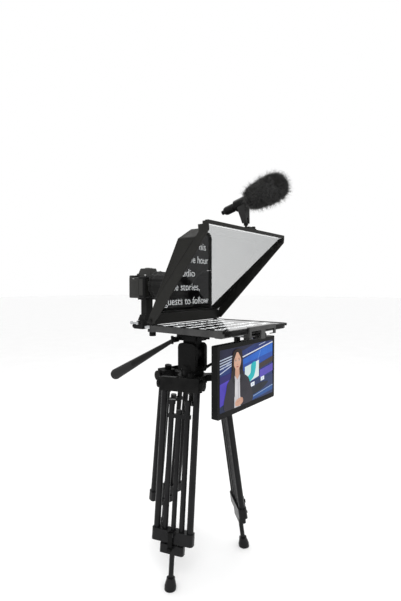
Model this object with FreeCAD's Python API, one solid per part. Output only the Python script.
import FreeCAD, Part
import math
import os

# A studio teleprompter on its tripod, in millimetres.
# +Z is up, the talent stands at -Y, the camera operator stands at +Y, and X runs across.
# The origin is on the floor under the pan axis of the head.

# ---- driving dimensions -------------------------------------------------------------------
# tripod
LEG_NAMES = ("left", "rear", "right")
LEG_AZIMUTHS = (198.0, 78.0, 318.0)
SPLAY = 8.0
HINGE_R = 114.0
HINGE_Z = 702.0
TUBE_R = 12.0
TUBE_WALL = 1.5
TUBE_SPACING = 128.0
STAGE_R = 10.0
STAGE_SPACING = 64.0
STAGE_CAP_Z = 643.0
LOWER_R = 9.0
LOWER_CAP_Z = 607.0
COLLAR_TOP = 190.0
COLLAR_BOTTOM = 150.0
# fluid head
HEAD_BASE_Z = 714.0
PAN_Z = 735.0
TILT_Z = 800.0
CHEEK_R = 45.0
HEAD_HALF_X = 37.0
PLATE_Z = 862.0
HANDLE_X = 50.0
HANDLE_Y = 43.0
HANDLE_Z = 854.0
HANDLE_SCREW_R = 3.5
HANDLE_DROP = 27.5
HANDLE_R = 7.5
HANDLE_END_R = 24.0
HANDLE_LENGTH = 410.1
GRIP_LENGTH = 150.0
M6_R = 3.0
# rods and rig
ROD_R = 7.5
ROD_X = 30.0
ROD_Z = 890.0
ROD_HALF_LENGTH = 299.0
# script monitor, lying flat with its screen up
SCREEN_TOP = 921.0
MONITOR_HALF_X = 205.5
MONITOR_FRONT = -311.5
MONITOR_BACK = 22.5
BEZEL_DEPTH = 8.0
ACTIVE_X = 376.0
ACTIVE_Y = 301.0
RAIL_OUT = 209.5
# beam splitter glass, 45 degrees: y + z is constant on its lower face
GLASS_SUM = 983.5
GLASS_LOW_Z = 963.0
GLASS_HIGH_Z = 1251.0
GLASS_LOW_HALF = 208.7
GLASS_HIGH_HALF = 248.5
GLASS_THICKNESS = 3.0
FRAME_SKIN = 4.0
HOOD_SKIN = 3.0
TRIM_Y = 24.0
TRIM_Z = 938.0
# camera
LENS_Z = 1058.0
LENS_R = 36.0
LENS_FRONT = 95.0
CAMERA_FRONT = 205.0
CAMERA_BACK = 300.0
CAMERA_HALF_X = 70.0
CAMERA_LOW = 1012.0
CAMERA_HIGH = 1112.0
# talent monitor
TALENT_HALF_X = 188.0
TALENT_FRONT = -259.0
TALENT_DEPTH = 24.0
TALENT_LOW = 631.0
TALENT_HIGH = 870.0
TALENT_PIVOT_Y = -209.0
TALENT_PIN_R = 3.5
TALENT_PIVOT_Z = 820.0
# microphone
SHOE_Y = -245.0
SHOE_Z = 1262.0
MIC_REAR = (0.0, -144.0, 1330.0)
MIC_TILT = 15.9
MIC_LENGTH = 235.0
FUR_R = 50.0
FUR_START = 118.0
FUR_END = 260.0
# fits
RUN = 0.05
GAP = 0.3

X = FreeCAD.Vector(1, 0, 0)
Y = FreeCAD.Vector(0, 1, 0)
Z = FreeCAD.Vector(0, 0, 1)

os.makedirs("parts", exist_ok=True)


# ---- helpers ------------------------------------------------------------------------------
def vec(x, y, z):
    return FreeCAD.Vector(x, y, z)


def box(x0, x1, y0, y1, z0, z1):
    return Part.makeBox(x1 - x0, y1 - y0, z1 - z0, vec(x0, y0, z0))


def cyl(r, length, base, axis):
    return Part.makeCylinder(r, length, base, axis)


def cone(r0, r1, length, base, axis):
    return Part.makeCone(r0, r1, length, base, axis)


def tube(r_out, r_in, length, base, axis):
    return cyl(r_out, length, base, axis).cut(cyl(r_in, length, base, axis))


def polygon(points):
    return Part.Face(Part.makePolygon(points + [points[0]]))


def prism_x(points, x0, x1):
    """Polygon of (y, z) points, pushed along X."""
    return polygon([vec(x0, y, z) for y, z in points]).extrude(vec(x1 - x0, 0, 0))


def prism_y(points, y0, y1):
    """Polygon of (x, z) points, pushed along Y."""
    return polygon([vec(x, y0, z) for x, z in points]).extrude(vec(0, y1 - y0, 0))


def round_edges(shape, radius, axis):
    """Fillet the straight edges that run along axis."""
    edges = []
    for edge in shape.Edges:
        run = edge.Vertexes[-1].Point - edge.Vertexes[0].Point
        if run.Length > 0 and abs(run.normalize().dot(axis)) > 0.999:
            edges.append(edge)
    return shape.makeFillet(radius, edges)


def fuse(shapes):
    return shapes[0].multiFuse(shapes[1:]).removeSplitter()


def mirror_x(shape):
    return shape.mirror(vec(0, 0, 0), X)


def pair(shape):
    """The shape and its mirror image across the YZ plane, as two solids."""
    return Part.makeCompound([shape, mirror_x(shape)])


def turned(shape, centre, axis, degrees):
    copy = shape.copy()
    copy.rotate(centre, axis, degrees)
    return copy


def revolve_profile(points, base, axis):
    """Turn (along, radius) points about the axis through base."""
    side = axis.cross(X)
    if side.Length < 0.1:
        side = axis.cross(Y)
    side.normalize()
    corners = [base + axis * along + side * radius for along, radius in points]
    return polygon(corners).revolve(base, axis, 360)


def knob(base, axis, radius, height, lobes):
    """Hand knob: a round body with grip flutes cut along its rim."""
    body = cyl(radius, height, base, axis)
    rims = [edge for edge in body.Edges if isinstance(edge.Curve, Part.Circle)]
    body = body.makeChamfer(1.0, rims)
    side = axis.cross(X) if abs(axis.dot(X)) < 0.9 else axis.cross(Y)
    side.normalize()
    flute_r = radius * 0.22
    for index in range(lobes):
        centre = base + side * (radius + flute_r * 0.45)
        flute = cyl(flute_r, height, centre, axis)
        body = body.cut(turned(flute, base, axis, 360.0 * index / lobes))
    return body


def save(name, shape):
    shape.exportStep("parts/" + name + ".step")


# ---- tripod: crown, pins and bowl clamp ----------------------------------------------------
LUG_R = 14.0
LUG_HALF = 18.0
PIN_R = 5.0
BLOCK_HALF = 79.0
BLOCK_LOW = 675.0
BLOCK_HIGH = 725.0
BLOCK_DEPTH = 20.0
CROWN_R = 58.0
CROWN_LOW = 684.0
STUD_R = 9.0
KNOB_OFFSET = 40.0
KNOB_STEM_R = 4.0
KNOB_STEM = 12.0
LOCK_X = HINGE_R + 23.5
LOCK_Z = 183.0
LOCK_AXLE_R = 2.5
LOCK_HALF = 7.7
COLLAR_SOCKET = 5.0
PIN_CAP_R = 20.0
PIN_CAP = 12.0
YOKE_LOW = 112.0
YOKE_HIGH = 142.0
BRIDGE_LOW = 578.0
BRIDGE_HIGH = 592.0
FOOT_SOCKET_Z = 30.0


def at_azimuth(shape, azimuth):
    return turned(shape, vec(0, 0, 0), Z, azimuth)


def make_crown():
    body = cyl(CROWN_R, HEAD_BASE_Z - CROWN_LOW, vec(0, 0, CROWN_LOW), Z)
    body = body.fuse(cone(CROWN_R - 16, CROWN_R - 4, 22, vec(0, 0, CROWN_LOW - 22), Z))
    for azimuth in LEG_AZIMUTHS:
        arm = box(0, HINGE_R, -LUG_HALF, LUG_HALF, HINGE_Z - LUG_R, HINGE_Z + LUG_R - 2)
        eye = cyl(LUG_R, 2 * LUG_HALF, vec(HINGE_R, -LUG_HALF, HINGE_Z), Y)
        lug = arm.fuse(eye).cut(cyl(PIN_R, 2 * LUG_HALF, vec(HINGE_R, -LUG_HALF, HINGE_Z), Y))
        body = body.fuse(at_azimuth(lug, azimuth))
    seat = cone(28, 40, HEAD_BASE_Z - CROWN_LOW - 6, vec(0, 0, CROWN_LOW + 6), Z)
    stud_hole = cyl(STUD_R + RUN, 60, vec(0, 0, CROWN_LOW - 30), Z)
    return body.cut(seat).cut(stud_hole).removeSplitter()


def make_leg_pins():
    """Hinge axles of the legs, each with a round cap at both ends."""
    pins = []
    half = BLOCK_HALF + GAP
    outline = [(-half - PIN_CAP, 0), (-half - PIN_CAP, PIN_CAP_R), (-half, PIN_CAP_R), (-half, PIN_R),
               (half, PIN_R), (half, PIN_CAP_R), (half + PIN_CAP, PIN_CAP_R), (half + PIN_CAP, 0)]
    for azimuth in LEG_AZIMUTHS:
        pins.append(at_azimuth(revolve_profile(outline, vec(HINGE_R, 0, HINGE_Z), Y), azimuth))
    return Part.makeCompound(pins)


def make_bowl_knob():
    top = CROWN_LOW - 22.3
    handle = revolve_profile([(0, 0), (0, 20), (-18, 20), (-30, 14), (-62, 17), (-72, 12), (-72, 0)],
                             vec(0, 0, top), Z)
    return handle.fuse(cyl(STUD_R, 27, vec(0, 0, top), Z)).removeSplitter()


# ---- tripod: one leg, drawn hanging straight down, then splayed and turned -------------------
def place_leg(shape, azimuth):
    splayed = turned(shape, vec(HINGE_R, 0, HINGE_Z), Y, -SPLAY)
    return at_azimuth(splayed, azimuth)


def make_leg_block():
    block = box(HINGE_R - BLOCK_DEPTH, HINGE_R + BLOCK_DEPTH, -BLOCK_HALF, BLOCK_HALF, BLOCK_LOW, BLOCK_HIGH)
    block = round_edges(block, 5.0, Z)
    pocket_half = LUG_HALF + 1
    pocket = box(HINGE_R - BLOCK_DEPTH, HINGE_R + LUG_R + 2.5, -pocket_half, pocket_half,
                 BLOCK_LOW + 7, BLOCK_HIGH)
    bore = cyl(PIN_R + RUN, 2 * BLOCK_HALF, vec(HINGE_R, -BLOCK_HALF, HINGE_Z), Y)
    thread = cyl(KNOB_STEM_R, KNOB_STEM, vec(HINGE_R, KNOB_OFFSET, BLOCK_HIGH - KNOB_STEM), Z)
    return block.cut(pocket).cut(bore).cut(thread)


def make_leg_knob():
    stem = cyl(KNOB_STEM_R - RUN, KNOB_STEM, vec(HINGE_R, KNOB_OFFSET, BLOCK_HIGH - KNOB_STEM + 1), Z)
    head = knob(vec(HINGE_R, KNOB_OFFSET, BLOCK_HIGH + GAP), Z, 14.0, 16.0, 10)
    return stem.fuse(head)


def make_leg_tubes():
    """Twin outer tubes and the collar in which the lower stage slides."""
    collar_half = TUBE_SPACING / 2 + TUBE_R + 3
    collar = box(HINGE_R - 17, HINGE_R + 17, -collar_half, collar_half, COLLAR_BOTTOM, COLLAR_TOP)
    collar = round_edges(collar, 12.0, Z)
    tubes = []
    for sign in (-1, 1):
        base = vec(HINGE_R, sign * TUBE_SPACING / 2, COLLAR_TOP - COLLAR_SOCKET)
        tubes.append(tube(TUBE_R, TUBE_R - TUBE_WALL, BLOCK_LOW - COLLAR_TOP + COLLAR_SOCKET, base, Z))
        collar = collar.cut(cyl(TUBE_R - TUBE_WALL, COLLAR_SOCKET, base, Z))
    ears = [box(HINGE_R + 16, LOCK_X + 5.5, y0, y0 + 4, LOCK_Z - 7, COLLAR_TOP) for y0 in (-12, 8)]
    leg = fuse(tubes + [collar] + ears)
    for y, radius in ((-STAGE_SPACING / 2, STAGE_R), (0, LOWER_R), (STAGE_SPACING / 2, STAGE_R)):
        leg = leg.cut(cyl(radius + GAP, 60, vec(HINGE_R, y, COLLAR_BOTTOM - 5), Z))
    return leg.cut(cyl(LOCK_AXLE_R + RUN, 30, vec(LOCK_X, -15, LOCK_Z), Y))


def make_leg_lock():
    barrel = cyl(4.8, 2 * LOCK_HALF, vec(LOCK_X, -LOCK_HALF, LOCK_Z), Y)
    axle = cyl(LOCK_AXLE_R, 24, vec(LOCK_X, -12, LOCK_Z), Y)
    arm = box(LOCK_X - 4.5, LOCK_X + 3.5, -LOCK_HALF, LOCK_HALF, LOCK_Z - 50, LOCK_Z)
    arm = arm.fuse(box(LOCK_X - 4.5, LOCK_X + 8.5, -LOCK_HALF, LOCK_HALF, LOCK_Z - 54, LOCK_Z - 46))
    return fuse([barrel, axle, arm])


def make_lower_leg(azimuth):
    """Twin stage tubes, the tube between them, and the rubber foot cut flat on the floor."""
    half = STAGE_SPACING / 2 + STAGE_R + 3
    bridge = box(HINGE_R - 9, HINGE_R + 9, -half, half, BRIDGE_LOW, BRIDGE_HIGH)
    yoke = round_edges(box(HINGE_R - 14, HINGE_R + 14, -half, half, YOKE_LOW, YOKE_HIGH), 8.0, Z)
    middle = tube(LOWER_R, LOWER_R - TUBE_WALL, LOWER_CAP_Z - FOOT_SOCKET_Z, vec(HINGE_R, 0, FOOT_SOCKET_Z), Z)
    cap = cyl(LOWER_R + 3, 12, vec(HINGE_R, 0, LOWER_CAP_Z - 12), Z)
    parts = [round_edges(bridge, 5.0, Z), yoke, middle, cap]
    for sign in (-1, 1):
        y = sign * STAGE_SPACING / 2
        parts.append(tube(STAGE_R, STAGE_R - TUBE_WALL, STAGE_CAP_Z - YOKE_HIGH, vec(HINGE_R, y, YOKE_HIGH), Z))
        parts.append(cyl(STAGE_R + 3.5, 16, vec(HINGE_R, y, STAGE_CAP_Z - 16), Z))
    stage = place_leg(fuse(parts), azimuth)
    foot = revolve_profile([(-25, 0), (-25, 21), (4, 21), (26, 15), (30, 15), (30, 0)], vec(HINGE_R, 0, 0), Z)
    foot = place_leg(foot, azimuth)
    floor = box(-400, 400, -400, 400, -100, 0)
    return Part.makeCompound([stage, foot.cut(floor)])


# ---- fluid head ------------------------------------------------------------------------------
CORE_HALF_X = 21.0
CHEEK_HALF_Y = 44.0
CHEEK_TOP = TILT_Z + 40
TILT_LOCK_Z = PAN_Z + 33
AXLE_R = 9.0
EYE_HALF = 8.5
PLATFORM_Z = 850.0
SPIGOT_R = 14.0
TURNTABLE_R = 43.0
DRAG_SCREW_R = 4.0
PAN_LEVER_Y = -57.0
PAN_LEVER_Z = PAN_Z + 9
PLATE_LEVER_Y = -20.0
PLATE_LEVER_Z = (PLATFORM_Z + PLATE_Z) / 2
PLATE_SCREW_R = 3.5
BLOCK_FRONT = -56.0
BLOCK_BACK = 4.0


def make_head_base():
    """Cone that seats in the crown, and the ring the pan body turns on."""
    plug = cone(28, 40, HEAD_BASE_Z - CROWN_LOW - 6, vec(0, 0, CROWN_LOW + 6), Z)
    ring = cyl(45, PAN_Z - HEAD_BASE_Z - GAP, vec(0, 0, HEAD_BASE_Z), Z)
    spigot = cyl(SPIGOT_R, 6, vec(0, 0, PAN_Z - GAP), Z)
    hole = cyl(STUD_R + RUN, 12, vec(0, 0, CROWN_LOW + 6), Z)
    return fuse([plug, ring, spigot]).cut(hole)


def make_pan_body():
    """Turntable and the two cheeks that carry the tilt axle."""
    turntable = cyl(TURNTABLE_R, 17, vec(0, 0, PAN_Z), Z)
    turntable = turntable.cut(cyl(SPIGOT_R + RUN, 6.5, vec(0, 0, PAN_Z), Z))
    boss = cyl(8.5, 12, vec(0, PAN_LEVER_Y + 7, PAN_LEVER_Z), Y)
    parts = [turntable, boss]
    for sign in (-1, 1):
        inner = sign * (CORE_HALF_X + GAP)
        outer = sign * HEAD_HALF_X
        x0 = min(inner, outer)
        x1 = max(inner, outer)
        cheek = box(x0, x1, -CHEEK_HALF_Y, CHEEK_HALF_Y, PAN_Z + 3, CHEEK_TOP)
        top_edges = [edge for edge in cheek.Edges if edge.BoundBox.ZMin > CHEEK_TOP - 1
                     and edge.BoundBox.YLength < 1]
        parts.append(cheek.makeFillet(18.0, top_edges))
    body = fuse(parts)
    body = body.cut(cyl(AXLE_R + RUN, 2 * HEAD_HALF_X, vec(-HEAD_HALF_X, 0, TILT_Z), X))
    body = body.cut(cyl(DRAG_SCREW_R + RUN, 14, vec(0, PAN_LEVER_Y + 6, PAN_LEVER_Z), Y))
    return body.cut(cyl(DRAG_SCREW_R + RUN, 20, vec(HEAD_HALF_X - 12, 0, TILT_LOCK_Z), X))


def make_pan_lever():
    middle = vec(0, PAN_LEVER_Y, PAN_LEVER_Z)
    along = vec(1, -0.15, 0.3).normalize()
    hub = cyl(9, 12, middle - Y * 6, Y)
    screw = cyl(DRAG_SCREW_R, 22, middle - Y * 6, Y)
    arm = cone(6.5, 4.5, 62, middle, along)
    tip = Part.makeSphere(7.5, middle + along * 62)
    return fuse([hub, screw, arm, tip])


def make_tilt_body():
    """Tilt drum between the cheeks, its axle, and the platform that holds the plate."""
    drum = cyl(CHEEK_R - 8, 2 * CORE_HALF_X, vec(-CORE_HALF_X, 0, TILT_Z), X)
    axle = cyl(AXLE_R, 2 * HEAD_HALF_X, vec(-HEAD_HALF_X, 0, TILT_Z), X)
    neck = box(-CORE_HALF_X, CORE_HALF_X, -30, 30, TILT_Z, PLATFORM_Z)
    platform = round_edges(box(-36, 36, -46, 46, PLATFORM_Z, PLATE_Z - GAP), 8.0, Z)
    lips = []
    for sign in (-1, 1):
        x0 = min(sign * 30.3, sign * 36)
        lips.append(box(x0, x0 + 5.7, -46, 46, PLATE_Z - GAP, PLATE_Z + 6))
    arm = box(-HANDLE_X + 4, -34, HANDLE_Y - 12, HANDLE_Y + 3, PLATFORM_Z, PLATE_Z - GAP)
    rosette = cyl(11, 10, vec(-HANDLE_X, HANDLE_Y, HANDLE_Z), X)
    socket = cyl(HANDLE_SCREW_R + RUN, 17, vec(-HANDLE_X, HANDLE_Y, HANDLE_Z), X)
    left = arm.fuse(rosette).cut(socket)
    right = mirror_x(arm.fuse(rosette)).cut(cyl(M6_R, 12, vec(HANDLE_X - 12, HANDLE_Y, HANDLE_Z), X))
    body = fuse([drum, axle, neck, platform, left, right] + lips)
    return body.cut(cyl(PLATE_SCREW_R + RUN, 10, vec(30, PLATE_LEVER_Y, PLATE_LEVER_Z), X))


def make_tilt_knob():
    screw = cyl(DRAG_SCREW_R, 11, vec(HEAD_HALF_X - 10, 0, TILT_LOCK_Z), X)
    return screw.fuse(knob(vec(HEAD_HALF_X + GAP, 0, TILT_LOCK_Z), X, 13.0, 16.0, 8))


def make_plate_lever():
    """Short clamp lever that locks the sliding plate, on the right of the platform."""
    screw = cyl(PLATE_SCREW_R, 6, vec(31, PLATE_LEVER_Y, PLATE_LEVER_Z), X)
    hub = cyl(5.5, 8, vec(36 + GAP, PLATE_LEVER_Y, PLATE_LEVER_Z), X)
    arm = box(37, 44, PLATE_LEVER_Y - 32, PLATE_LEVER_Y, PLATE_LEVER_Z - 4, PLATE_LEVER_Z + 4)
    return fuse([screw, hub, arm])


def make_slide_plate():
    """Long plate that slides in the head's platform, with the clamp block of both rods on it."""
    plate = round_edges(box(-30, 30, -60, 60, PLATE_Z, PLATE_Z + 12), 6.0, Z)
    block = round_edges(box(-44, 44, BLOCK_FRONT, BLOCK_BACK, PLATE_Z + 12, ROD_Z + 6), 5.0, Y)
    return plate.fuse(block).cut(rod_holes(BLOCK_FRONT, BLOCK_BACK, ROD_R)).removeSplitter()


def handle_start():
    """Centre of the handle's eye, outside the left rosette."""
    return vec(-HANDLE_X - GAP - EYE_HALF, HANDLE_Y, HANDLE_Z)


def handle_direction():
    drop = math.radians(HANDLE_DROP)
    return vec(0, math.cos(drop), -math.sin(drop))


def handle_radius(along):
    """The handle swells evenly from the head to its end."""
    return HANDLE_R + (HANDLE_END_R - HANDLE_R) * along / HANDLE_LENGTH


def make_handle_rod():
    start = handle_start()
    shaft_length = HANDLE_LENGTH - GRIP_LENGTH
    eye = cyl(11, 2 * EYE_HALF, start - X * EYE_HALF, X)
    screw = cyl(HANDLE_SCREW_R, 14, start + X * EYE_HALF, X)
    shaft = cone(handle_radius(0), handle_radius(shaft_length), shaft_length - 4,
                 start + handle_direction() * 4, handle_direction())
    wing_x = start.x - EYE_HALF
    wing = box(wing_x - 7, wing_x, start.y - 4, start.y + 4, start.z - 16, start.z + 16)
    return fuse([eye, screw, shaft, wing])


def make_handle_grip():
    start = HANDLE_LENGTH - GRIP_LENGTH
    end = HANDLE_LENGTH
    outline = [(start, 0), (start, handle_radius(start)), (end - 12, handle_radius(end - 12)),
               (end - 4, HANDLE_END_R - 3), (end, HANDLE_END_R - 9), (end, 0)]
    return revolve_profile(outline, handle_start(), handle_direction())


# ---- rods, clamps and tray ----------------------------------------------------------------------
BAR_LOW = 898.0
BAR_HIGH = 903.5
CLAMP_LOW = 878.0
TRAY_BARS = ((-288.0, -264.0), (8.0, 34.0))
RAIL_FRONT = -292.0
RAIL_BACK = 22.0
CORNER_X = 198.0
CORNER_Y = 21.0
CORNER_SCREW_R = 4.0
EAR_X = 190.0
EAR_Y = 23.0
EAR_THICKNESS = 5.0
TRIM_PIN_R = 4.0
PIN_HEAD_X = 207.0


def rod_holes(y0, y1, radius):
    holes = [cyl(radius, y1 - y0, vec(sign * ROD_X, y0, ROD_Z), Y) for sign in (-1, 1)]
    return Part.makeCompound(holes)


def make_rods():
    rods = []
    for sign in (-1, 1):
        base = vec(sign * ROD_X, -ROD_HALF_LENGTH, ROD_Z)
        rods.append(tube(ROD_R, ROD_R - 2, 2 * ROD_HALF_LENGTH, base, Y))
    return Part.makeCompound(rods)


def make_rod_caps():
    caps = []
    for sign in (-1, 1):
        for end in (-1, 1):
            base = vec(sign * ROD_X, end * ROD_HALF_LENGTH, ROD_Z)
            head = revolve_profile([(0, 0), (0, 10), (6, 10), (10, 7), (10, 0)], base, Y * end)
            plug = cyl(ROD_R - 2, 12, base - Y * end * 12, Y * end)
            caps.append(head.fuse(plug))
    return Part.makeCompound(caps)


def make_tray_frame():
    """Two side rails and two cross bars; the bars clamp on the rods."""
    parts = []
    for sign in (-1, 1):
        web = box(RAIL_OUT - 4, RAIL_OUT, RAIL_FRONT, RAIL_BACK, BAR_LOW + 2, SCREEN_TOP)
        flange = box(RAIL_OUT - 13, RAIL_OUT, RAIL_FRONT, RAIL_BACK, BAR_LOW + 2, SCREEN_TOP - BEZEL_DEPTH)
        rail = web.fuse(flange)
        parts.append(rail if sign > 0 else mirror_x(rail))
    for y0, y1 in TRAY_BARS:
        parts.append(box(-RAIL_OUT, RAIL_OUT, y0, y1, BAR_LOW, BAR_HIGH))
        for sign in (-1, 1):
            x = sign * ROD_X
            parts.append(box(x - 13, x + 13, y0, y1, CLAMP_LOW, BAR_LOW))
    frame = fuse(parts)
    for y0, y1 in TRAY_BARS:
        frame = frame.cut(rod_holes(y0, y1, ROD_R))
    for sign in (-1, 1):
        frame = frame.cut(cyl(CORNER_SCREW_R + RUN, 8, vec(sign * CORNER_X, CORNER_Y, BAR_LOW - 1), Z))
    return frame


def make_corner_knob(sign):
    """Clamp knob under a rear corner of the tray."""
    top = vec(sign * CORNER_X, CORNER_Y, BAR_LOW - GAP)
    screw = cyl(CORNER_SCREW_R, 5, top, Z)
    return screw.fuse(knob(top - Z * 14, Z, 12.0, 14.0, 8))


def make_hinge_brackets():
    """Corner plates inside the glass frame, with the pins that the frame turns on."""
    foot_top = BAR_HIGH + EAR_THICKNESS
    ear = prism_x([(EAR_Y, BAR_HIGH), (EAR_Y + 17, BAR_HIGH), (EAR_Y + 17, 930), (TRIM_Y + 8, TRIM_Z + 8),
                   (EAR_Y, TRIM_Z + 8)], EAR_X, EAR_X + EAR_THICKNESS)
    foot = box(EAR_X - 11, RAIL_OUT, EAR_Y, EAR_Y + 11, BAR_HIGH, foot_top)
    brace = prism_y([(EAR_X, foot_top), (EAR_X - 11, foot_top), (EAR_X, 930)], EAR_Y + 3, EAR_Y + 8)
    pin = cyl(TRIM_PIN_R, PIN_HEAD_X - EAR_X, vec(EAR_X, TRIM_Y, TRIM_Z), X)
    head = cyl(7, RAIL_OUT - PIN_HEAD_X, vec(PIN_HEAD_X, TRIM_Y, TRIM_Z), X)
    return pair(fuse([ear, foot, brace, pin, head]))


# ---- script monitor ------------------------------------------------------------------------------
MONITOR_MID = (MONITOR_FRONT + MONITOR_BACK) / 2
BEZEL_LOW = SCREEN_TOP - BEZEL_DEPTH


def make_monitor_bezel():
    outer = box(-MONITOR_HALF_X, MONITOR_HALF_X, MONITOR_FRONT, MONITOR_BACK, BEZEL_LOW, SCREEN_TOP)
    outer = round_edges(outer, 22.0, Z)
    window = box(-ACTIVE_X / 2, ACTIVE_X / 2, MONITOR_MID - ACTIVE_Y / 2, MONITOR_MID + ACTIVE_Y / 2,
                 BEZEL_LOW, SCREEN_TOP)
    return outer.cut(window)


def make_monitor_screen():
    return box(-ACTIVE_X / 2, ACTIVE_X / 2, MONITOR_MID - ACTIVE_Y / 2, MONITOR_MID + ACTIVE_Y / 2,
               BEZEL_LOW, SCREEN_TOP - 1)


def make_monitor_housing():
    back = box(-193, 193, MONITOR_FRONT + 12, MONITOR_BACK - 12, BAR_HIGH, BEZEL_LOW)
    return round_edges(back, 15.0, Z)


def make_retainer():
    """Front clip: a lip over the monitor's front edge, on two legs that slide between the rods."""
    lip = box(-89, 89, MONITOR_FRONT - 6, MONITOR_FRONT + 5, SCREEN_TOP + GAP, SCREEN_TOP + 5)
    wall = box(-89, 89, MONITOR_FRONT - 6, MONITOR_FRONT - GAP, 912, SCREEN_TOP + 5)
    parts = [lip, wall]
    for sign in (-1, 1):
        x0 = min(sign * 77, sign * 89)
        parts.append(box(x0, x0 + 12, MONITOR_FRONT - 6, MONITOR_FRONT - GAP, 893, 912))
        x1 = min(sign * 52, sign * 89)
        parts.append(box(x1, x1 + 37, MONITOR_FRONT - 4, MONITOR_FRONT - 1, 893, 896))
    parts.append(box(-14, 14, MONITOR_FRONT - 6, MONITOR_FRONT - GAP, 881, 912))
    parts.append(box(-14, 14, MONITOR_FRONT - 6, RAIL_FRONT, 881, 886))
    parts.append(box(-9, 9, MONITOR_FRONT - 6, -230, 882, 886))
    return fuse(parts)


# ---- glass, its frame, the hood and the lens sleeve -------------------------------------------------
def half_width(z):
    """Half width of the glass frame at height z; it is wider at the top."""
    slope = (GLASS_HIGH_HALF - GLASS_LOW_HALF) / (GLASS_HIGH_Z - GLASS_LOW_Z)
    return GLASS_LOW_HALF + (z - GLASS_LOW_Z) * slope


def glass_y(z, behind=0.0):
    """Y of the glass's lower face at height z, moved back by behind along the face's normal."""
    return GLASS_SUM - z + behind * math.sqrt(2)


def side_skin(profile, thickness, z0, z1):
    """The (y, z) profile cut from the right-hand slanted side wall."""
    wall = prism_y([(half_width(z0) - thickness, z0), (half_width(z0), z0),
                    (half_width(z1), z1), (half_width(z1) - thickness, z1)], -400, 200)
    return prism_x(profile, 0, 400).common(wall)


STRIP = 12.0
PLATE_LOW = 928.0
PLATE_FRONT = 4.0
FRAME_TOP_FRONT = -268.0
FRAME_TOP_BACK = -228.0
HOOD_TOP = 1245.0
HOOD_TOP_BACK = -164.0
HOOD_LOW_BACK = 44.0
BACK_WALL_LOW = 989.0
FACET_Z = 1213.0
FACET_RUN = 1.25
SLEEVE_START = -95.0
SLEEVE_END = 172.0
SLEEVE_FRONT_R = 65.0
SLEEVE_BACK_R = 52.0
SLEEVE_SKIN = 3.0
APRON_LOW = 923.5
APRON_Y = 17.0
FLAP_LOW = 957.0
FLAP_HIGH = 991.0
RIM_LOW = 1207.0
RIM_HIGH = 1250.5


def hood_back_y(z):
    """Y of the hood's outer back wall at height z; the side plates end on the same line."""
    return HOOD_LOW_BACK - (z - PLATE_LOW) * (HOOD_LOW_BACK - HOOD_TOP_BACK) / (HOOD_TOP - PLATE_LOW)


def back_wall_meets(behind):
    """(y, z) where the hood's back wall crosses the plane that lies behind the glass by behind."""
    slope = (HOOD_LOW_BACK - HOOD_TOP_BACK) / (HOOD_TOP - PLATE_LOW)
    z = (glass_y(0, behind) - HOOD_LOW_BACK - slope * PLATE_LOW) / (1 - slope)
    return hood_back_y(z), z


def make_glass_frame():
    """Side plates, the top bar and the apron under the glass."""
    strip_top = glass_y(0, STRIP) - FRAME_TOP_BACK
    profile = [(PLATE_FRONT + 2, PLATE_LOW), (PLATE_FRONT, PLATE_LOW + 8), (FRAME_TOP_FRONT, GLASS_HIGH_Z - 7),
               (FRAME_TOP_FRONT, GLASS_HIGH_Z), (FRAME_TOP_BACK, GLASS_HIGH_Z), (FRAME_TOP_BACK, strip_top),
               back_wall_meets(STRIP), (HOOD_LOW_BACK, PLATE_LOW)]
    plate = side_skin(profile, FRAME_SKIN, 900, 1300)
    plate = plate.cut(cyl(TRIM_PIN_R + RUN, 40, vec(EAR_X, TRIM_Y, TRIM_Z), X))
    top_bar = box(-GLASS_HIGH_HALF, GLASS_HIGH_HALF, FRAME_TOP_FRONT, FRAME_TOP_FRONT + 12,
                  GLASS_HIGH_Z, SHOE_Z)
    corner = box(GLASS_HIGH_HALF - 16, GLASS_HIGH_HALF, FRAME_TOP_FRONT, FRAME_TOP_FRONT + 22,
                 GLASS_HIGH_Z, SHOE_Z - 2)
    apron_high = GLASS_LOW_Z - 2
    low_half = half_width(APRON_LOW) - FRAME_SKIN + 1
    high_half = half_width(apron_high) - FRAME_SKIN + 1
    apron = prism_y([(low_half, APRON_LOW), (high_half, apron_high), (-high_half, apron_high),
                     (-low_half, APRON_LOW)], APRON_Y, APRON_Y + 3)
    return fuse([plate, mirror_x(plate), top_bar, corner, mirror_x(corner), apron, make_flap()])


def glass_slab(near, far):
    """Endless slab parallel to the glass, from near to far behind its lower face."""
    return prism_x([(glass_y(900, near), 900), (glass_y(1300, near), 1300), (glass_y(1300, far), 1300),
                    (glass_y(900, far), 900)], -300, 300)


def across_frame(inset, low, high):
    """Endless block between the frame's sides, inset from their outer faces."""
    outline = [(half_width(low) - inset, low), (half_width(high) - inset, high)]
    outline += [(-x, z) for x, z in reversed(outline)]
    return prism_y(outline, -400, 200)


def make_flap():
    """Thin closing strip behind the lower edge of the glass."""
    near = GLASS_THICKNESS + 0.2
    return across_frame(FRAME_SKIN - 1, FLAP_LOW, FLAP_HIGH).common(glass_slab(near, near + 0.7))


def make_mirror_glass():
    return across_frame(FRAME_SKIN + GAP, GLASS_LOW_Z, GLASS_HIGH_Z - 1).common(glass_slab(0, GLASS_THICKNESS))


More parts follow.
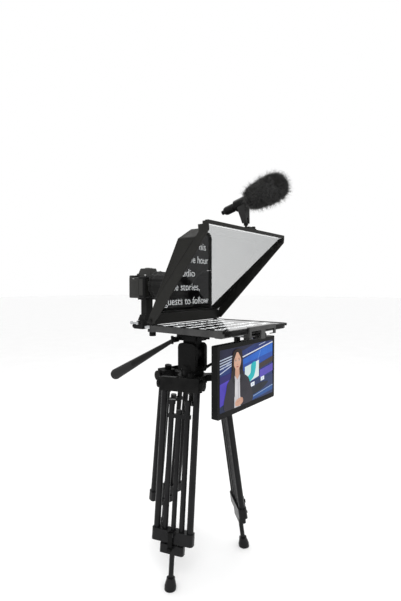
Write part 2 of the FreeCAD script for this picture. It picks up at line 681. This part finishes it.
def hood_solid(skin):
    """The hood's outer block, or its hollow when skin is taken off every closed side."""
    slope = (HOOD_LOW_BACK - HOOD_TOP_BACK) / (HOOD_TOP - PLATE_LOW)
    back = skin * math.sqrt(1 + slope ** 2)
    front = STRIP + 0.2 - (5.0 if skin else 0.0)
    top = HOOD_TOP - skin
    corner_y, corner_z = back_wall_meets(front + back / math.sqrt(2))
    profile = [(corner_y - back, corner_z), (glass_y(top, front), top), (hood_back_y(top) - back, top)]
    rise = HOOD_TOP - FACET_Z
    facet_x = half_width(FACET_Z)
    low = corner_z - 1
    outline = [(half_width(low) - skin, low), (facet_x - skin, FACET_Z - skin * 0.5),
               (facet_x - rise * FACET_RUN - skin * 0.35, top)]
    outline += [(-x, z) for x, z in reversed(outline)]
    return prism_x(profile, -300, 300).common(prism_y(outline, -400, 200))


def sleeve_cone(inset):
    """Cone from inside the hood to the lens; inset makes it narrower."""
    length = SLEEVE_END - SLEEVE_START
    return cone(SLEEVE_FRONT_R - inset, SLEEVE_BACK_R - inset, length, vec(0, SLEEVE_START, LENS_Z), Y)


def make_hood():
    """Folded sheet cover behind the glass; its back wall reaches down between the side plates."""
    hollow = hood_solid(HOOD_SKIN)
    shell = hood_solid(0.0).cut(hollow)
    side = FRAME_SKIN + GAP
    front = STRIP + 0.2
    rim = across_frame(side, RIM_LOW, RIM_HIGH).common(glass_slab(front, front + 2)).cut(hollow)
    skin = 3.5
    slab = prism_x([(hood_back_y(900) - skin, 900), (hood_back_y(1100) - skin, 1100), (hood_back_y(1100), 1100),
                    (hood_back_y(900), 900)], -300, 300)
    wall = across_frame(side, BACK_WALL_LOW, back_wall_meets(STRIP)[1] + 20).common(slab)
    return fuse([shell, rim, wall]).cut(sleeve_cone(0.0))


def make_lens_sleeve():
    """Soft tapering tube from the hood's back wall to the lens."""
    depth = 2 * HOOD_SKIN
    behind = prism_x([(hood_back_y(PLATE_LOW) - depth, PLATE_LOW), (hood_back_y(HOOD_TOP) - depth, HOOD_TOP),
                      (SLEEVE_END, HOOD_TOP), (SLEEVE_END, PLATE_LOW)], -200, 200)
    return sleeve_cone(0.0).cut(sleeve_cone(SLEEVE_SKIN)).common(behind)


# ---- camera on its riser -------------------------------------------------------------------------------
DIAL_Y = CAMERA_FRONT + 53
RISER_Y0 = 240.0
RISER_Y1 = 272.0
RISER_BASE_TOP = 914.0
RISER_HEAD_LOW = 1004.0
RISER_LEVER_Y = 262.0
RISER_LEVER_Z = 905.0
RISER_SCREW_R = 3.5
SHUTTER_X = -52.0
SHUTTER_Y = CAMERA_FRONT + 4
SHUTTER_R = 3.0
DIAL_SEAT = CAMERA_HIGH - 12
DIAL_STEM_R = 4.0


def make_riser():
    base = box(-44, 44, RISER_Y0 - 2, 290, CLAMP_LOW + 2, RISER_BASE_TOP)
    base = base.cut(box(-60, 60, 274, 300, RISER_BASE_TOP - 10, RISER_BASE_TOP + 6))
    post = box(-19, 19, RISER_Y0, RISER_Y1, RISER_BASE_TOP, RISER_HEAD_LOW)
    flare = prism_x([(RISER_Y0, RISER_BASE_TOP), (RISER_Y0, RISER_BASE_TOP + 26),
                     (RISER_Y1, RISER_BASE_TOP + 26), (286, RISER_BASE_TOP)], -26, 26)
    head = round_edges(box(-32, 32, 226, 282, RISER_HEAD_LOW, CAMERA_LOW), 6.0, Z)
    body = fuse([base, post, flare, head])
    body = body.cut(rod_holes(200, 300, ROD_R + GAP))
    return body.cut(cyl(RISER_SCREW_R + RUN, 14, vec(-45, RISER_LEVER_Y, RISER_LEVER_Z), X))


def make_riser_lever():
    screw = cyl(RISER_SCREW_R, 14, vec(-46, RISER_LEVER_Y, RISER_LEVER_Z), X)
    hub = cyl(7, 9, vec(-53 - GAP, RISER_LEVER_Y, RISER_LEVER_Z), X)
    arm_end = RISER_LEVER_Y + 38
    arm = box(-52, -46, RISER_LEVER_Y, arm_end, RISER_LEVER_Z - 4, RISER_LEVER_Z + 4)
    tip = cyl(7, 6, vec(-52, arm_end, RISER_LEVER_Z), X)
    return fuse([screw, hub, arm, tip])


def make_camera_body():
    body = box(-CAMERA_HALF_X, CAMERA_HALF_X, CAMERA_FRONT + 22, CAMERA_BACK - 8, CAMERA_LOW, CAMERA_HIGH - 12)
    body = round_edges(body, 8.0, Z)
    grip = round_edges(box(-CAMERA_HALF_X, -34, CAMERA_FRONT - 8, CAMERA_FRONT + 40, CAMERA_LOW,
                           CAMERA_HIGH - 8), 10.0, Z)
    front = box(-30, 52, CAMERA_FRONT, CAMERA_FRONT + 30, CAMERA_LOW, CAMERA_HIGH - 6)
    hump = prism_x([(CAMERA_FRONT + 2, 1095), (CAMERA_FRONT + 6, 1124), (CAMERA_FRONT + 22, 1138),
                    (CAMERA_FRONT + 56, 1138), (CAMERA_BACK - 6, 1118), (CAMERA_BACK - 6, 1092)], -26, 26)
    hump = hump.common(prism_y([(-32, 1080), (-18, 1139), (18, 1139), (32, 1080)], 150, 300))
    eyecup = round_edges(box(-18, 18, CAMERA_BACK - 8, CAMERA_BACK + 2, 1088, 1116), 6.0, Y)
    screen = box(-42, 42, CAMERA_BACK - 8, CAMERA_BACK - 2, 1022, 1082)
    mount = cyl(33, 4, vec(0, CAMERA_FRONT - 4, LENS_Z), Y)
    body = fuse([body, grip, front, hump, eyecup, screen, mount])
    body = body.cut(cyl(SHUTTER_R + RUN, 6, vec(SHUTTER_X, SHUTTER_Y, CAMERA_HIGH - 14), Z))
    return body.cut(cyl(DIAL_STEM_R + RUN, 6, vec(SHUTTER_X, DIAL_Y, DIAL_SEAT - 6), Z))


def make_shutter_button():
    stem = cyl(SHUTTER_R, 8, vec(SHUTTER_X, SHUTTER_Y, CAMERA_HIGH - 12.5), Z)
    return stem.fuse(cyl(6.5, 3, vec(SHUTTER_X, SHUTTER_Y, CAMERA_HIGH - 5.5), Z))


def make_mode_dial():
    stem = cyl(DIAL_STEM_R, 7, vec(SHUTTER_X, DIAL_Y, DIAL_SEAT - 6), Z)
    return stem.fuse(knob(vec(SHUTTER_X, DIAL_Y, DIAL_SEAT + GAP), Z, 10.0, 7.0, 16))


def make_lens_barrel():
    rear = cyl(33, 22, vec(0, CAMERA_FRONT - 26, LENS_Z), Y)
    core = cyl(LENS_R - 4, 75, vec(0, LENS_FRONT + 14, LENS_Z), Y)
    hood_ring = cyl(LENS_R, 20, vec(0, LENS_FRONT, LENS_Z), Y)
    body = fuse([rear, core, hood_ring])
    recess = cyl(LENS_R - 7, 8, vec(0, LENS_FRONT, LENS_Z), Y)
    return body.cut(recess)


def make_focus_ring():
    ring = tube(LENS_R + 1, LENS_R - 4 + RUN, 50, vec(0, LENS_FRONT + 20 + GAP, LENS_Z), Y)
    for index in range(36):
        groove = box(-0.9, 0.9, LENS_FRONT + 26, LENS_FRONT + 60, LENS_Z + LENS_R, LENS_Z + LENS_R + 3)
        ring = ring.cut(turned(groove, vec(0, 0, LENS_Z), Y, index * 10))
    return ring


def make_lens_glass():
    return cyl(LENS_R - 7, 3, vec(0, LENS_FRONT + 5, LENS_Z), Y)


# ---- talent monitor -------------------------------------------------------------------------------------
TALENT_BACK = TALENT_FRONT + TALENT_DEPTH
BEZEL_THICKNESS = 6.0
PICTURE_HALF_X = 175.0
PICTURE_LOW = TALENT_LOW + 19
PICTURE_HIGH = TALENT_HIGH - 15


def make_talent_bracket():
    """Rod clamp with a hanging arm; the tilt pin is at the arm's foot."""
    clamp = box(-44, 44, -222, -194, CLAMP_LOW + 3, 897.7)
    clamp = round_edges(clamp, 4.0, Y)
    arm = box(-11, 11, -216, -203, TALENT_PIVOT_Z - 4, CLAMP_LOW + 3)
    eye = cyl(10, 22, vec(-11, TALENT_PIVOT_Y, TALENT_PIVOT_Z), X)
    body = fuse([clamp, arm, eye]).cut(rod_holes(-222, -194, ROD_R))
    body = body.cut(box(-10, 10, -223, -193, 880, 888))
    return body.cut(cyl(TALENT_PIN_R + RUN, 30, vec(-15, TALENT_PIVOT_Y, TALENT_PIVOT_Z), X))


def make_talent_case():
    case = box(-TALENT_HALF_X, TALENT_HALF_X, TALENT_FRONT + BEZEL_THICKNESS, TALENT_BACK,
               TALENT_LOW, TALENT_HIGH)
    case = round_edges(case, 5.0, Y)
    plate = box(-50, 50, TALENT_BACK, TALENT_BACK + 5, TALENT_PIVOT_Z - 55, TALENT_PIVOT_Z + 25)
    parts = [case, plate]
    for sign in (-1, 1):
        x0 = min(sign * 11.5, sign * 17.5)
        ear = box(x0, x0 + 6, TALENT_BACK + 5, TALENT_PIVOT_Y, TALENT_PIVOT_Z - 9, TALENT_PIVOT_Z + 9)
        disc = cyl(9, 6, vec(x0, TALENT_PIVOT_Y, TALENT_PIVOT_Z), X)
        parts += [ear, disc]
    body = fuse(parts)
    return body.cut(cyl(TALENT_PIN_R, 60, vec(-30, TALENT_PIVOT_Y, TALENT_PIVOT_Z), X))


def make_talent_bezel():
    back = TALENT_FRONT + BEZEL_THICKNESS
    frame = box(-TALENT_HALF_X, TALENT_HALF_X, TALENT_FRONT, back, TALENT_LOW, TALENT_HIGH)
    frame = round_edges(frame, 5.0, Y)
    return frame.cut(box(-PICTURE_HALF_X, PICTURE_HALF_X, TALENT_FRONT, back, PICTURE_LOW, PICTURE_HIGH))


def make_talent_screen():
    return box(-PICTURE_HALF_X, PICTURE_HALF_X, TALENT_FRONT + 1, TALENT_FRONT + BEZEL_THICKNESS,
               PICTURE_LOW, PICTURE_HIGH)


def make_talent_knob():
    screw = cyl(TALENT_PIN_R - RUN, 42, vec(-23, TALENT_PIVOT_Y, TALENT_PIVOT_Z), X)
    return screw.fuse(knob(vec(17.5 + GAP, TALENT_PIVOT_Y, TALENT_PIVOT_Z), X, 12.0, 14.0, 8))


# ---- microphone --------------------------------------------------------------------------------------------
SHOE_STEM_R = 4.0
SHOE_SCREW_X = 26.0
SHOE_SCREW_Y = SHOE_Y - 15
SHOE_SCREW_R = 2.5
MIC_PIVOT_Z = SHOE_Z + 30
MIC_PIN_R = 2.5
MIC_R = 11.0
MIC_REAR_R = 21.0
MIC_NECK = 62.0


def mic_axis():
    tilt = math.radians(MIC_TILT)
    return vec(0, -math.cos(tilt), math.sin(tilt))


def make_shoe_mount():
    """Shoe foot on the top bar with the stem that the clamp swivels on."""
    foot = box(-15, 34, SHOE_Y - 22, SHOE_Y - 8, SHOE_Z, SHOE_Z + 3)
    deck = box(-15, 15, SHOE_Y - 22, SHOE_Y + 12, SHOE_Z + 3, SHOE_Z + 6)
    stem = cyl(SHOE_STEM_R, 12, vec(0, SHOE_Y, SHOE_Z + 6), Z)
    return fuse([foot, deck, stem]).cut(cyl(SHOE_SCREW_R + RUN, 3, vec(SHOE_SCREW_X, SHOE_SCREW_Y, SHOE_Z), Z))


def make_shoe_knob():
    screw = cyl(SHOE_SCREW_R, 4, vec(SHOE_SCREW_X, SHOE_SCREW_Y, SHOE_Z), Z)
    return screw.fuse(knob(vec(SHOE_SCREW_X, SHOE_SCREW_Y, SHOE_Z + 3 + GAP), Z, 7.0, 7.0, 8))


def make_mic_swivel():
    collar = tube(8, SHOE_STEM_R + RUN, 5, vec(0, SHOE_Y, SHOE_Z + 13), Z)
    fork = box(-5, 5, SHOE_Y - 6, SHOE_Y + 6, SHOE_Z + 18, MIC_PIVOT_Z)
    eye = cyl(6, 10, vec(-5, SHOE_Y, MIC_PIVOT_Z), X)
    return fuse([collar, fork, eye]).cut(cyl(MIC_PIN_R + RUN, 12, vec(-6, SHOE_Y, MIC_PIVOT_Z), X))


def make_mic_clamp():
    """Tapered clamp that holds the microphone and tilts on the swivel's eye."""
    profile = [(SHOE_Y - 9, SHOE_Z + 20), (SHOE_Y + 9, SHOE_Z + 20), (SHOE_Y + 26, 1334), (SHOE_Y + 24, 1350),
               (SHOE_Y - 4, 1357), (SHOE_Y - 4, 1330)]
    block = prism_x(profile, -18, 18)
    taper = prism_y([(-10.5, SHOE_Z + 20), (10.5, SHOE_Z + 20), (17.5, 1335), (17.5, 1370), (-17.5, 1370),
                     (-17.5, 1335)], -400, 0)
    slot = box(-5 - GAP, 5 + GAP, SHOE_Y - 12, SHOE_Y + 30, SHOE_Z + 20, MIC_PIVOT_Z + 9)
    body = block.common(taper).cut(slot)
    body = body.fuse(cyl(MIC_PIN_R, 16, vec(-8, SHOE_Y, MIC_PIVOT_Z), X))
    return body.cut(cyl(MIC_REAR_R, FUR_START - MIC_NECK, mic_point(MIC_NECK), mic_axis()))


def mic_point(along):
    return vec(*MIC_REAR) + mic_axis() * along


def make_mic_body():
    outline = [(0, 0), (0, 8), (13, 8), (13, 13), (20, 15.5), (50, 15.5), (54, 12), (58, 12),
               (MIC_NECK, MIC_REAR_R), (FUR_START, MIC_REAR_R), (FUR_START, MIC_R), (MIC_LENGTH, MIC_R),
               (MIC_LENGTH, 0)]
    return revolve_profile(outline, vec(*MIC_REAR), mic_axis())


def make_windshield():
    """Fur cover: an egg, fatter towards its front, with a bore for the microphone."""
    length = FUR_END - FUR_START
    start = mic_point(FUR_START)
    outline = [(0.0, MIC_R)]
    for step in range(12):
        along = step / 12.0
        swell = math.sin(math.pi * (0.18 + 0.42 * along + 0.30 * along ** 3)) ** 0.5
        outline.append((along * length, FUR_R * swell))
    outline += [(length * 0.97, FUR_R * 0.6), (length, FUR_R * 0.3), (length, 0.0)]
    outline += [(MIC_LENGTH + GAP - FUR_START, 0.0), (MIC_LENGTH + GAP - FUR_START, MIC_R)]
    return revolve_profile(outline, start, mic_axis())


# ---- every node ---------------------------------------------------------------------------------------------
def main():
    save("crown", make_crown())
    save("leg_pins", make_leg_pins())
    save("bowl_knob", make_bowl_knob())
    for name, azimuth in zip(LEG_NAMES, LEG_AZIMUTHS):
        save("leg_block_" + name, place_leg(make_leg_block(), azimuth))
        save("leg_knob_" + name, place_leg(make_leg_knob(), azimuth))
        save("leg_tubes_" + name, place_leg(make_leg_tubes(), azimuth))
        save("leg_lock_" + name, place_leg(make_leg_lock(), azimuth))
        save("lower_leg_" + name, make_lower_leg(azimuth))
    save("head_base", make_head_base())
    save("pan_body", make_pan_body())
    save("pan_lever", make_pan_lever())
    save("tilt_body", make_tilt_body())
    save("tilt_knob", make_tilt_knob())
    save("plate_lever", make_plate_lever())
    save("slide_plate", make_slide_plate())
    save("handle_rod", make_handle_rod())
    save("handle_grip", make_handle_grip())
    save("rods", make_rods())
    save("rod_caps", make_rod_caps())
    save("tray_frame", make_tray_frame())
    save("corner_knob_left", make_corner_knob(-1))
    save("corner_knob_right", make_corner_knob(1))
    save("hinge_brackets", make_hinge_brackets())
    save("monitor_bezel", make_monitor_bezel())
    save("monitor_screen", make_monitor_screen())
    save("monitor_housing", make_monitor_housing())
    save("retainer", make_retainer())
    save("glass_frame", make_glass_frame())
    save("mirror_glass", make_mirror_glass())
    save("hood", make_hood())
    save("lens_sleeve", make_lens_sleeve())
    save("riser", make_riser())
    save("riser_lever", make_riser_lever())
    save("camera_body", make_camera_body())
    save("shutter_button", make_shutter_button())
    save("mode_dial", make_mode_dial())
    save("lens_barrel", make_lens_barrel())
    save("focus_ring", make_focus_ring())
    save("lens_glass", make_lens_glass())
    save("talent_bracket", make_talent_bracket())
    save("talent_case", make_talent_case())
    save("talent_bezel", make_talent_bezel())
    save("talent_screen", make_talent_screen())
    save("talent_knob", make_talent_knob())
    save("shoe_mount", make_shoe_mount())
    save("shoe_knob", make_shoe_knob())
    save("mic_swivel", make_mic_swivel())
    save("mic_clamp", make_mic_clamp())
    save("mic_body", make_mic_body())
    save("windshield", make_windshield())


main()
